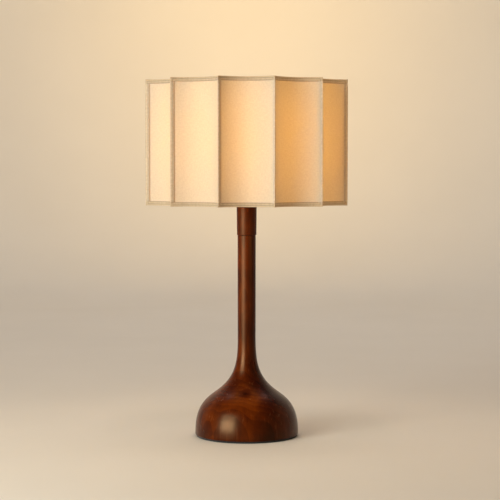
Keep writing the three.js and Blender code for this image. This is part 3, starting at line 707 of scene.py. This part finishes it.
def make_harp():
    bm = bmesh.new()
    left = [(-x * MM, 0, z * MM) for x, z in HARP_HALF]
    right = [(x * MM, 0, z * MM) for x, z in reversed(HARP_HALF)]
    tube(bm, smooth_path([*left, (0, 0, HARP_TOP), *right], 8), HARP_WIRE, 14)
    wire = to_object("harp_wire", bm, BRASS)
    stud = turned("harp_stud", [
        (0, HARP_TOP),
        (BOSS[0] - 1.5 * MM, HARP_TOP),
        (BOSS[0], HARP_TOP + 2 * MM),
        *arc((BOSS[0] - 0.5 * MM, BOSS[1] - 0.5 * MM), 0.5 * MM, 0, 90, 3),
        *thread_profile(
            STUD_RADIUS - 0.35 * MM, STUD_RADIUS, BOSS[1], STUD_TOP - 0.5 * MM, STUD_PITCH
        ),
        (STUD_RADIUS - 0.8 * MM, STUD_TOP),
        (0, STUD_TOP),
    ], BRASS, 40)
    return join("harp_bow", wire, stud)


stand_for(make_harp(), "stand", "brass", "harp")

SLEEVE_BORE = 2.6 * MM
SLEEVE_RADIUS = 4.2 * MM
SLEEVE_GROOVE = 3.8 * MM  # the radius in the groove near its top

for side_name in ("left", "right"):
    low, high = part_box(f"harp_sleeve_{side_name}")
    sleeve = turned(f"sleeve_{side_name}", [
        (SLEEVE_BORE, low.z),
        *arc((SLEEVE_RADIUS - 0.4 * MM, low.z + 0.4 * MM), 0.4 * MM, -90, 0, 3),
        (SLEEVE_RADIUS, high.z - 4.2 * MM),
        (SLEEVE_GROOVE, high.z - 3.8 * MM),
        (SLEEVE_GROOVE, high.z - 3.2 * MM),
        (SLEEVE_RADIUS - 0.1 * MM, high.z - 2.8 * MM),
        *arc((SLEEVE_RADIUS - 0.9 * MM, high.z - 0.6 * MM), 0.6 * MM, 10, 90, 4),
        (SLEEVE_BORE, high.z),
    ], BRASS, 40, at=((low.x + high.x) / 2, 0))
    stand_for(sleeve, f"{side_name}_sleeve", "brass", f"harp_sleeve_{side_name}")

finial_low, finial_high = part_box("finial")
BALL = 5.5 * MM
ball_height = finial_high.z - BALL
FINIAL_BORE = 3.4 * MM
FINIAL_ROUND = (7.4 * MM, 0.6 * MM)  # where the rounded edge of its foot is centred, and its size
finial = turned("finial_knob", [
    (0, STUD_TOP + GAP),
    (FINIAL_BORE, STUD_TOP + GAP),
    (FINIAL_BORE, finial_low.z),
    *arc((FINIAL_ROUND[0], finial_low.z + FINIAL_ROUND[1]), FINIAL_ROUND[1], -90, 0, 3),
    *arc((FINIAL_ROUND[0], finial_low.z + 1.1 * MM), FINIAL_ROUND[1], 0, 80, 3),
    *bezier(
        (6.2 * MM, finial_low.z + 1.9 * MM), (4.8 * MM, finial_low.z + 2.2 * MM),
        (4.2 * MM, finial_low.z + 2.9 * MM), (4.4 * MM, finial_low.z + 3.9 * MM), 6,
    ),
    *arc((0, ball_height), BALL, -34, 90, 20),
], BRASS, 56)
stand_for(finial, "finial", "brass", "finial")

cap_low, cap_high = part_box("socket_cap")
cap_radius = cap_high.x
socket_cap = turned("socket_cap_shell", [
    (BORE, cap_low.z),
    (9 * MM, cap_low.z),
    *bezier(
        (9.6 * MM, cap_low.z + 0.3 * MM), (13 * MM, cap_low.z + 3 * MM),
        (cap_radius - 1.2 * MM, cap_low.z + 6 * MM),
        (cap_radius - 0.4 * MM, cap_low.z + 10.6 * MM), 12,
    ),
    (cap_radius - 0.4 * MM, cap_high.z - 4.4 * MM),
    (cap_radius, cap_high.z - 3.8 * MM),
    (cap_radius, cap_high.z),
    (cap_radius - 1 * MM, cap_high.z),
    (cap_radius - 1.5 * MM, cap_high.z - 5.4 * MM),
    *bezier(
        (cap_radius - 1.8 * MM, cap_low.z + 10.6 * MM), (cap_radius - 2.6 * MM, cap_low.z + 7 * MM),
        (12.4 * MM, cap_low.z + 4.6 * MM), (8.5 * MM, cap_low.z + 1.8 * MM), 8,
    ),
    (BORE, cap_low.z + 1.8 * MM),
], BRASS, 64)
stand_for(socket_cap, "stand", "brass", "socket_cap")

shell_low, shell_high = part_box("socket_shell")
LAMP_RADIUS = 19.2 * MM
SHELL_WALL = 0.9 * MM
knob_low, knob_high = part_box("switch_knob")
SWITCH_HEIGHT = (knob_low.z + knob_high.z) / 2
SWITCH_SHAFT = 2.0 * MM
SWITCH_HOLE = 2.5 * MM


def shell_profile():
    """The outside widens above the switch, and has a raised ring there and a bead at its lip."""
    step = shell_low.z + 19.7 * MM
    step_top = step + 3 * MM
    ring = step + 8 * MM
    outside = [
        (cap_radius, shell_low.z),
        (cap_radius, step - 1 * MM),
        *bezier(
            (cap_radius, step), (cap_radius, step + 2 * MM),
            (LAMP_RADIUS, step + 1 * MM), (LAMP_RADIUS, step_top), 6,
        ),
        (LAMP_RADIUS, ring - 1 * MM),
        *arc((LAMP_RADIUS - 0.1 * MM, ring), 0.6 * MM, -70, 70, 6),
        (LAMP_RADIUS, ring + 1 * MM),
        (LAMP_RADIUS, shell_high.z - 4.2 * MM),
        *arc((LAMP_RADIUS, shell_high.z - 2.4 * MM), 0.8 * MM, -80, 80, 6),
        (LAMP_RADIUS, shell_high.z),
    ]
    inside = [
        (LAMP_RADIUS - SHELL_WALL, shell_high.z),
        (LAMP_RADIUS - SHELL_WALL, step_top),
        (cap_radius - SHELL_WALL, step),
        (cap_radius - SHELL_WALL, shell_low.z),
    ]
    return outside + inside


def lay_forward(piece):
    """Turns a piece made about the vertical axis onto the switch's axis, which points forward."""
    piece.data.transform(Matrix.Rotation(math.pi / 2, 4, "X"))
    piece.data.transform(Matrix.Translation((0, 0, SWITCH_HEIGHT)))
    return piece


socket_shell = turned("socket_shell_sleeve", shell_profile(), BRASS, 64)
passage = turned("switch_hole", [
    (0, 10 * MM), (SWITCH_HOLE, 10 * MM), (SWITCH_HOLE, 30 * MM), (0, 30 * MM),
], BRASS, 24)
cut_with(socket_shell, lay_forward(passage))
stand_for(socket_shell, "stand", "brass", "socket_shell")

KNOB_FLUTES = 8
KNOB_RADIUS = 6.5 * MM
KNOB_BACK = 24 * MM
FLUTE_DEPTH = 0.8 * MM


def make_knob():
    """A fluted turn knob with a domed end, on its shaft, about the vertical axis."""
    bm = bmesh.new()
    back, front = KNOB_BACK, -knob_low.y
    # Each station is a distance along the shaft, a share of the radius and of the flutes' depth.
    stations = (
        (back, 0.86, 0.4), (back + 0.5 * MM, 1.0, 1.0), (front - 2.2 * MM, 1.0, 1.0),
        (front - 0.9 * MM, 0.93, 0.7), (front - 0.25 * MM, 0.78, 0.3), (front, 0.5, 0.0),
    )
    rows = []
    for height, size, flute in stations:
        row = []
        for i in range(KNOB_FLUTES * 8):
            angle = 2 * math.pi * i / (KNOB_FLUTES * 8)
            dip = FLUTE_DEPTH * flute * (0.5 - 0.5 * math.cos(KNOB_FLUTES * angle)) ** 0.7
            reach = KNOB_RADIUS * size - dip
            row.append((reach * math.cos(angle), reach * math.sin(angle), height))
        rows.append(row)
    grid = loft(bm, rows, closed_columns=True)
    bm.faces.new(grid[0])
    bm.faces.new(grid[-1])
    tube(bm, [(0, 0, 8 * MM), (0, 0, back + 1 * MM)], SWITCH_SHAFT, 20)
    return lay_forward(to_object("switch_turn_knob", bm, BLACK_PLASTIC))


stand_for(make_knob(), "switch", "black_plastic", "switch_knob")

# ---- bulb ----

glass_low, glass_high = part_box("bulb_glass")
GLOBE = glass_high.x
GLOBE_HEIGHT = glass_high.z - GLOBE
NECK = 12.4 * MM
GLASS_WALL = 1.2 * MM
TAPER_START = -0.55  # the angle, in radians, where the globe turns into the neck
GLOBE_PULL, NECK_PULL = 11 * MM, 18 * MM  # how far the curve between them is pulled at its ends


def globe_profile(inset):
    size = GLOBE - inset
    cos, sin = math.cos(TAPER_START), math.sin(TAPER_START)
    start = (size * cos, GLOBE_HEIGHT + size * sin)
    neck = bezier(
        (NECK - inset, glass_low.z), (NECK - inset, glass_low.z + NECK_PULL),
        (start[0] + GLOBE_PULL * sin, start[1] - GLOBE_PULL * cos), start, 14,
    )
    return neck[:-1] + arc((0, GLOBE_HEIGHT), size, math.degrees(TAPER_START), 90, 24)


bulb = turned(
    "bulb_globe", [*globe_profile(0), *reversed(globe_profile(GLASS_WALL))], BULB_GLASS, 64
)
bulb.visible_glossy = False  # its light still falls through the shade's open bottom
stand_for(bulb, "bulb", "bulb_glass", "bulb_glass")

# ---- shade ----

PANELS = 12
HALF_STEP = math.pi / PANELS
RIB_RADIUS = 174.8 * MM
PANEL_DEPTH = 22.0 * MM
PANEL_THICKNESS = 1.0 * MM
PANEL_TRIM = 0.6 * MM
TAPE_THICKNESS = 0.6 * MM
WIRE_INSET = 2.9 * MM
WIRE = 1.5 * MM
FOLD_STEPS = 6
ARC_STEPS = 26

half_chord = RIB_RADIUS * math.sin(HALF_STEP)
ARC_RADIUS = (half_chord ** 2 + PANEL_DEPTH ** 2) / (2 * PANEL_DEPTH)
ARC_CENTRE = RIB_RADIUS * math.cos(HALF_STEP) - PANEL_DEPTH + ARC_RADIUS
SHADE_LOW = bottom("bottom_tape")
SHADE_HIGH = top("top_tape")
panel_low, panel_high = bottom("shade_panel_01"), top("shade_panel_01")


def rib_angle(rib):
    return HALF_STEP * (1 + 2 * rib)


def corner_radius(offset):
    along = ARC_CENTRE * math.cos(HALF_STEP)
    across = ARC_CENTRE * math.sin(HALF_STEP)
    return along - math.sqrt((ARC_RADIUS + offset) ** 2 - across ** 2)


def arc_reach(offset):
    return math.asin(corner_radius(offset) * math.sin(HALF_STEP) / (ARC_RADIUS + offset))


FOLD_OFFSET = -GAP  # outside this offset the outline rounds its corners


def arc_point(panel, share, offset, reach=None):
    """The plan point a share of the way along a panel's arc, at a distance inside it."""
    reach = arc_reach(max(offset, FOLD_OFFSET)) if reach is None else reach
    middle = rib_angle(panel) + HALF_STEP
    turn = middle + math.pi + reach * (1 - 2 * share)
    size = ARC_RADIUS + offset
    x = ARC_CENTRE * math.cos(middle) + size * math.cos(turn)
    y = ARC_CENTRE * math.sin(middle) + size * math.sin(turn)
    return x, y


def fold_point(rib, share, offset):
    """The plan point a share of the way round the fold over a rib."""
    angle = rib_angle(rib)
    inside = max(offset, FOLD_OFFSET)
    corner = corner_radius(inside)
    swing = HALF_STEP + arc_reach(inside)
    turn = angle + swing * (2 * share - 1)
    size = inside - offset
    return (
        corner * math.cos(angle) + size * math.cos(turn),
        corner * math.sin(angle) + size * math.sin(turn),
    )


def outline_row(offset, height):
    """The whole outline at an offset, as one closed row of points at a height."""
    row = []
    for panel in range(PANELS):
        for i in range(FOLD_STEPS + 1):
            row.append(fold_point(panel, i / FOLD_STEPS, offset))
        for i in range(1, ARC_STEPS):
            row.append(arc_point(panel, i / ARC_STEPS, offset))
    return [(x, y, height) for x, y in row]


def put_map(piece, name, across_of, along_of):
    """Writes a map in metres, from two measures of a point."""
    mesh = piece.data
    places = [(across_of(vertex.co), along_of(vertex.co)) for vertex in mesh.vertices]
    layer = mesh.uv_layers.new(name=name)
    values = [value for loop in mesh.loops for value in places[loop.vertex_index]]
    layer.data.foreach_set("uv", values)


def panel_of(point):
    """The panel whose sector a point lies in, and the point's arc length from its middle."""
    angle = (math.atan2(point.y, point.x) - rib_angle(0)) % (2 * math.pi)
    panel = int(angle / (2 * HALF_STEP)) % PANELS
    middle = rib_angle(panel) + HALF_STEP
    centre = Vector((ARC_CENTRE * math.cos(middle), ARC_CENTRE * math.sin(middle)))
    turn = math.atan2(point.y - centre.y, point.x - centre.x) - (middle + math.pi)
    turn = (turn + math.pi) % (2 * math.pi) - math.pi
    return panel, -turn * ARC_RADIUS


PANEL_ARC = 2 * arc_reach(0) * ARC_RADIUS


def along_outline(point):
    panel, length = panel_of(point)
    return panel * PANEL_ARC + length


def from_rib(point):
    return PANEL_ARC / 2 - abs(panel_of(point)[1])


def from_edge(point):
    return min(point.z - SHADE_LOW, SHADE_HIGH - point.z)


def height_of(point):
    return point.z


# A rib's tape reaches further over the panel on one side of the rib than on the other.
EDGE_TAPE_WIDTH = top("top_tape") - bottom("top_tape")
WIDE_LEG, NARROW_LEG = 5.4 * MM, 2.6 * MM
TURNED_TAPES = (11,)  # the ribs whose wide leg is on the clockwise side, seen from above


def tape_legs(rib):
    """How far a rib's tape reaches back over the panel before it and on over the one after."""
    if rib in TURNED_TAPES:
        return WIDE_LEG, NARROW_LEG
    return NARROW_LEG, WIDE_LEG


def past_rib_tape(point):
    """How far a point is past the hem of the tape on the rib where its panel starts."""
    panel, length = panel_of(point)
    return PANEL_ARC / 2 + length - tape_legs(panel)[1]


def past_edge_tape(point):
    return from_edge(point) - EDGE_TAPE_WIDTH


PANEL_ROWS = 30
CLOTH_WAVE = 0.45 * MM


def make_panel(panel):
    """A sheet that curves in between two ribs, with the faint unevenness of stretched cloth."""
    bm = bmesh.new()
    trim = PANEL_TRIM / PANEL_ARC
    rows = []
    for k in range(PANEL_ROWS + 1):
        height = panel_low + (panel_high - panel_low) * k / PANEL_ROWS
        hold = min(k, PANEL_ROWS - k, 4) / 4
        row = []
        for face in (0, 1):
            for i in range(ARC_STEPS + 1):
                share = trim + (1 - 2 * trim) * i / ARC_STEPS
                share = share if face == 0 else 1 - share
                ease = hold * min(i, ARC_STEPS - i, 4) / 4
                wave = noise.noise(Vector((share * 2.2, panel * 3.7, height * 14)))
                offset = face * PANEL_THICKNESS + ease * CLOTH_WAVE * wave
                x, y = arc_point(panel, share, offset)
                row.append((x, y, height))
        rows.append(row)
    grid = loft(bm, rows, closed_columns=True)
    for edge in (grid[0], grid[-1]):
        for i in range(ARC_STEPS):
            bm.faces.new((edge[i], edge[i + 1], edge[-2 - i], edge[-1 - i]))
    piece = to_object(f"linen_panel_{panel + 1:02d}", bm, LINEN)
    put_map(piece, "weave", along_outline, height_of)
    put_map(piece, "hem", past_rib_tape, past_edge_tape)
    return piece


panels = [
    stand_for(make_panel(panel), "shade", "shade_fabric", f"shade_panel_{panel + 1:02d}")
    for panel in range(PANELS)
]

# The tape's section, as millimetres from its fold or from its hem and its share of full
# thickness: raised bands with a sewn groove between them.
TAPE_RELIEF = (
    (0.0, 0.80), (0.25, 1.0), (1.2, 1.0), (1.9, 0.95), (2.3, 0.80), (2.7, 0.40), (3.1, 0.40),
    (3.5, 0.80), (4.0, 0.95), (5.4, 0.95), (6.0, 0.95),
)
HEM_RELIEF = ((0.5, 0.95), (0.2, 0.70), (0.0, 0.10))


def tape_section(width):
    """Pairs of distance from the fold and thickness, out to the hem of a tape that wide."""
    flat = [(d * MM, rise) for d, rise in TAPE_RELIEF if d * MM < width - 0.6 * MM]
    hem = [(width - d * MM, rise) for d, rise in HEM_RELIEF]
    return [(d, rise * TAPE_THICKNESS) for d, rise in flat + hem]


def make_edge_tape(name, edge, inwards):
    """The tape folds over the shade's edge, round the ring wire, with its outside banded."""
    fold = edge + inwards * TAPE_THICKNESS
    hem = edge + inwards * EDGE_TAPE_WIDTH
    inner = WIRE_INSET + WIRE + 0.6 * MM
    section = []
    for distance, thickness in reversed(tape_section(EDGE_TAPE_WIDTH)):
        section.append((-GAP - thickness, edge + inwards * max(distance, 0.1 * MM)))
    section += [
        (-0.1 * MM, edge),
        (inner, edge),
        (inner + 0.45 * MM, edge + inwards * 0.15 * MM),
        (inner + TAPE_THICKNESS, edge + inwards * 0.6 * MM),
        (inner + TAPE_THICKNESS, hem),
        (inner, hem),
        (inner, fold),
        (-GAP, fold),
        (-GAP, hem),
    ]
    bm = bmesh.new()
    rows = [outline_row(offset, height) for offset, height in section]
    loft(bm, rows, closed_rows=True, closed_columns=True)
    piece = to_object(name, bm, EDGE_TAPE, sharp_angle=50)
    put_map(piece, "weave", along_outline, height_of)
    put_map(piece, "seam", from_rib, from_edge)
    return piece


edge_tapes = [
    stand_for(make_edge_tape("tape_top", SHADE_HIGH, -1), "shade", "shade_tape", "top_tape"),
    stand_for(make_edge_tape("tape_bottom", SHADE_LOW, 1), "shade", "shade_tape", "bottom_tape"),
]

rib_low, rib_high = bottom("rib_tape_01"), top("rib_tape_01")
RIDGE_RISE = 1.35
RIB_TAPE_ROWS = 40


def make_rib_tape(rib):
    """A tape folded lengthwise over a rib, from one edge tape to the other."""
    reach = arc_reach(FOLD_OFFSET)
    arc_length = 2 * reach * ARC_RADIUS
    before, after = tape_legs(rib)
    outside, inside = [], []
    for distance, thickness in reversed(tape_section(before)):
        share = 1 - distance / arc_length
        outside.append(arc_point(rib - 1, share, -GAP - thickness, reach))
        inside.append(arc_point(rib - 1, share, FOLD_OFFSET, reach))
    for i in range(1, FOLD_STEPS):
        outside.append(fold_point(rib, i / FOLD_STEPS, -GAP - TAPE_THICKNESS * RIDGE_RISE))
        inside.append(arc_point(rib, 0, FOLD_OFFSET, reach))
    for distance, thickness in tape_section(after):
        share = distance / arc_length
        outside.append(arc_point(rib, share, -GAP - thickness, reach))
        inside.append(arc_point(rib, share, FOLD_OFFSET, reach))
    section = outside + inside[::-1]
    bm = bmesh.new()
    rows = []
    for k in range(RIB_TAPE_ROWS + 1):
        height = rib_low + (rib_high - rib_low) * k / RIB_TAPE_ROWS
        rows.append([(x, y, height) for x, y in section])
    grid = loft(bm, rows, closed_columns=True)
    count = len(outside)
    for edge in (grid[0], grid[-1]):
        for i in range(count - 1):
            bm.faces.new((edge[i], edge[i + 1], edge[2 * count - 2 - i], edge[2 * count - 1 - i]))
    piece = to_object(f"tape_rib_{rib + 1:02d}", bm, RIB_TAPE, sharp_angle=50)
    put_map(piece, "weave", height_of, along_outline)
    put_map(piece, "seam", from_rib, from_edge)
    return piece


rib_tapes = [
    stand_for(make_rib_tape(rib), "shade", "shade_tape", f"rib_tape_{rib + 1:02d}")
    for rib in range(PANELS)
]


def make_cage():
    """Two scalloped rings of wire and a strut behind each rib, with a weld at each joint."""
    bm = bmesh.new()
    sides = 12
    wire_high = panel_high - WIRE
    wire_low = panel_low + WIRE
    for middle in (wire_high, wire_low):
        rows = []
        for i in range(sides):
            angle = 2 * math.pi * i / sides
            offset = WIRE_INSET + WIRE * math.cos(angle)
            height = middle + WIRE * math.sin(angle)
            rows.append(outline_row(offset, height))
        loft(bm, rows, closed_rows=True, closed_columns=True)
    strut_radius = corner_radius(WIRE_INSET)
    for rib in range(PANELS):
        angle = rib_angle(rib)
        x, y = strut_radius * math.cos(angle), strut_radius * math.sin(angle)
        tube(bm, [(x, y, wire_low), (x, y, wire_high)], WIRE, sides)
        for height in (wire_low, wire_high):
            place = Matrix.Translation((x, y, height)) @ Matrix.Diagonal((1, 1, 1.3, 1))
            bmesh.ops.create_icosphere(bm, subdivisions=2, radius=1.12 * WIRE, matrix=place)
    return to_object("shade_wires", bm, WHITE_WIRE)


cage = stand_for(make_cage(), "shade", "white_wire", "shade_cage")

SPIDER_WIRE = 2.0 * MM
HUB_RADIUS = 13.0 * MM
HUB_LOW = BOSS[1] + GAP
HUB_HIGH = finial_low.z - GAP
SPIDER_RIBS = (0, 4, 8)  # the ribs that its three arms run to
ARM_RISE = 7.6 * MM


def make_spider():
    middle = (HUB_LOW + HUB_HIGH) / 2
    end = corner_radius(WIRE_INSET) - WIRE - GAP
    hub = turned("hub", [
        (FINIAL_BORE, HUB_LOW),
        *arc((HUB_RADIUS - 0.6 * MM, HUB_LOW + 0.6 * MM), 0.6 * MM, -90, 0, 3),
        *arc((HUB_RADIUS - 0.6 * MM, HUB_HIGH - 0.6 * MM), 0.6 * MM, 0, 90, 3),
        (FINIAL_BORE, HUB_HIGH),
    ], WHITE_WIRE, 48)
    bm = bmesh.new()
    for rib in SPIDER_RIBS:
        angle = rib_angle(rib)
        # Distances from the axis, each with the share of the rise that the arm has there.
        route = [(10 * MM, 0), (40 * MM, 0), (80 * MM, 0.2), (125 * MM, 0.65), (end, 1)]
        cos, sin = math.cos(angle), math.sin(angle)
        points = [(r * cos, r * sin, middle + rise * ARM_RISE) for r, rise in route]
        tube(bm, smooth_path(points, 8), SPIDER_WIRE, 14)
    return join("spider_frame", hub, to_object("arms", bm, WHITE_WIRE))


stand_for(make_spider(), "shade", "white_wire", "shade_spider")

# ---- stage and light ----

BOWL_RADIUS = 3.7
BOWL_ROUND = 1.1
BOWL_HEIGHT = 3.4


def make_stage():
    """A pale floor that curves up into a pale wall all round, like a studio cove."""
    nodes = Nodes("studio_cove")
    paint = nodes.noise(nodes.place(), 3, detail=3)
    colour = nodes.ramp(paint, (0.3, (0.765, 0.700, 0.600)), (0.7, (0.785, 0.720, 0.620)))
    nodes.set(Base_Color=colour, Roughness=0.8, Specular_IOR_Level=0.2)
    curve = arc((BOWL_RADIUS - BOWL_ROUND, BOWL_ROUND), BOWL_ROUND, -90, 0, 24)
    profile = [(0, 0), (1.2, 0), *curve, (BOWL_RADIUS, BOWL_HEIGHT)]
    bm = bmesh.new()
    loft(bm, spin(profile, 128), closed_rows=True)
    to_object("studio_cove", bm, nodes.material)


def hang(light, place, target, power, colour):
    """Puts a light at a place, pointing at a target."""
    light.energy = power
    light.color = colour
    lamp = bpy.data.objects.new(light.name, light)
    lamp.location = place
    way = Vector(target) - Vector(place)
    lamp.rotation_euler = way.to_track_quat("-Z", "Y").to_euler()
    bpy.context.scene.collection.objects.link(lamp)
    return lamp


def area_light(name, place, target, size, power, colour):
    light = bpy.data.lights.new(name, "AREA")
    light.shape = "RECTANGLE"
    light.size, light.size_y = size
    lamp = hang(light, place, target, power, colour)
    lamp.visible_camera = False
    return lamp


make_stage()
area_light("key", (-1.32, -1.37, 0.70), (0, 0, 0.3), (1.15, 1.32), 33, (0.98, 1.0, 0.93))
# A second light in the key's place, which only shows as a gleam on glossy surfaces.
glint = area_light("glint", (-1.32, -1.37, 0.38), (0, 0, 0.38), (1.0, 0.74), 23, (0.98, 1.0, 0.93))
glint.visible_diffuse = False
glint.visible_transmission = False
floor_light = area_light(
    "floor_light", (0, -0.4, 3.3), (0, -0.4, 0), (0.9, 0.9), 22, (1.0, 0.80, 0.68)
)
floor_light.visible_glossy = False
area_light("wall_wash", (0, 1.6, 3.2), (0, 3.7, 0.7), (3.2, 0.7), 34, (0.85, 0.90, 1.0))
area_light("wall_glow", (0, 2.7, 1.1), (0, 3.7, 1.15), (0.3, 0.3), 6, (1.0, 0.68, 0.25))
# A spot that fills the shade's right side.
fill = bpy.data.lights.new("shade_fill", "SPOT")
fill.spot_size = math.radians(12)
fill.spot_blend = 0.5
fill.shadow_soft_size = 0.12
hang(fill, (1.7, -1.5, 0.8), (0, 0, 0.51), 60, (1.0, 0.58, 0.20))

world = bpy.data.worlds.new("studio_air")
world.use_nodes = True
world.node_tree.nodes["Background"].inputs["Color"].default_value = (1.0, 0.93, 0.84, 1)
world.node_tree.nodes["Background"].inputs["Strength"].default_value = 0.15
bpy.context.scene.world = world
bpy.context.scene.view_settings.view_transform = "Standard"
